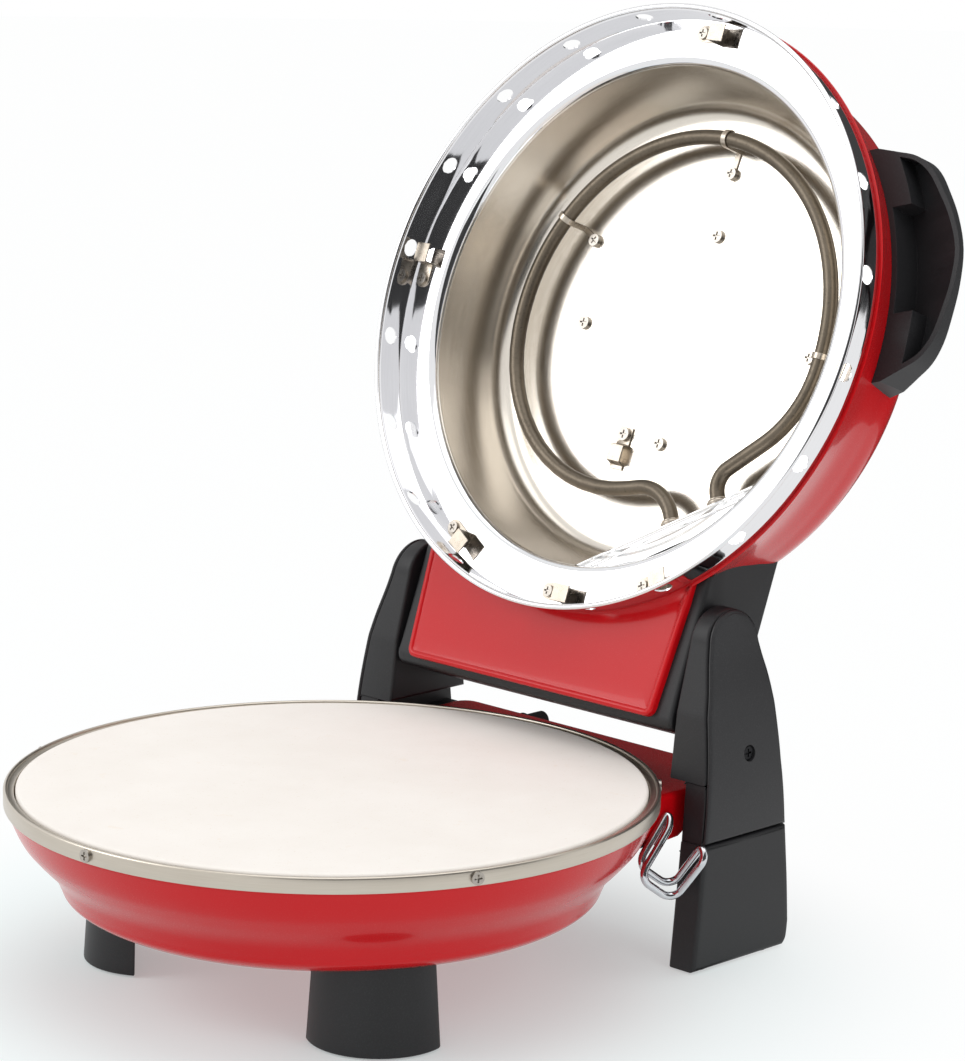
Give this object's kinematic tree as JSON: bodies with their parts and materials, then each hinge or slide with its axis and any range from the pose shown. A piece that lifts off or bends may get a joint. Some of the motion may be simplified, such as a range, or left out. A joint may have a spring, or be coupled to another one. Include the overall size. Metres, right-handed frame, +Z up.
{
  "type": "countertop cooker with hinged lid",
  "caption": "Round countertop pizza maker: shallow pan with a baking stone on four legs, and a domed lid with a vent ring, heating tube and side handle that swings open on a rear hinge.",
  "frame": {"origin": "the point of the worktop straight under the centre of the round pan", "axes": "+X to the right seen from the front and along the hinge, +Y from the front of the pan to the hinge at the back, +Z up"},
  "size_m": [0.3427, 0.4763, 0.4685],
  "materials": {
    "red_enamel": "gloss",
    "rim_steel": "brushed",
    "bright_chrome": "polished",
    "reflector_sheet": "satin",
    "heating_tube": "dark oxidised",
    "white_ceramic": "matt",
    "black_plastic": "fine grain",
    "black_rubber": "matt",
    "black_sheet": "matt",
    "pale_plastic": "matt",
    "screw_steel": "satin",
    "dark_screw": "blackened",
    "pin_steel": "satin",
    "bright_wire": "polished",
    "cream_stone": "smooth matt"
  },
  "bodies": {
    "base": {"base_pan": "red_enamel", "rim_ring": "rim_steel", "rim_screws": "screw_steel", "heat_shield": "reflector_sheet", "lower_element": "heating_tube", "lower_element_clips": "screw_steel", "lower_element_ferrules": "white_ceramic", "front_foot_right": "black_plastic", "front_foot_left": "black_plastic", "foot_pads": "black_rubber", "foot_screws": "screw_steel", "rear_leg_right": "black_plastic", "rear_leg_left": "black_plastic", "leg_cover_right": "black_plastic", "leg_cover_left": "black_plastic", "leg_cover_screws": "dark_screw", "leg_fixing_screws": "screw_steel", "leg_pads": "black_rubber", "hinge_pin_right": "pin_steel", "hinge_pin_left": "pin_steel", "hinge_washers": "pale_plastic", "cord_hook_right": "bright_wire", "cord_hook_left": "bright_wire", "rear_cover": "black_sheet", "cord_gland": "black_rubber", "terminal_block": "pale_plastic", "thermostat": "white_ceramic", "thermal_fuse": "white_ceramic"},
    "lid": {"lid_dome": "red_enamel", "vent_ring": "bright_chrome", "ring_clips": "screw_steel", "ring_clip_screws": "screw_steel", "upper_reflector": "reflector_sheet", "upper_element": "heating_tube", "element_ferrules": "white_ceramic", "element_clips": "screw_steel", "plate_screws": "screw_steel", "sensor_clip": "screw_steel", "wiring_cover": "bright_chrome", "hinge_housing": "black_plastic", "lid_terminal_block": "pale_plastic", "handle": "black_plastic", "handle_screws": "screw_steel"},
    "stone": {"pizza_stone": "cream_stone"}
  },
  "joints": [
    {"name": "lid_hinge", "type": "hinge", "parent": "base", "child": "lid", "pos_m": [0, 0.1698, 0.1442], "axis": [1, 0, 0], "range_deg": [0, 111]},
    {"name": "stone_lift", "type": "slide", "parent": "base", "child": "stone", "axis": [0, 0, 1], "range_m": [0, 0.01]}
  ]
}
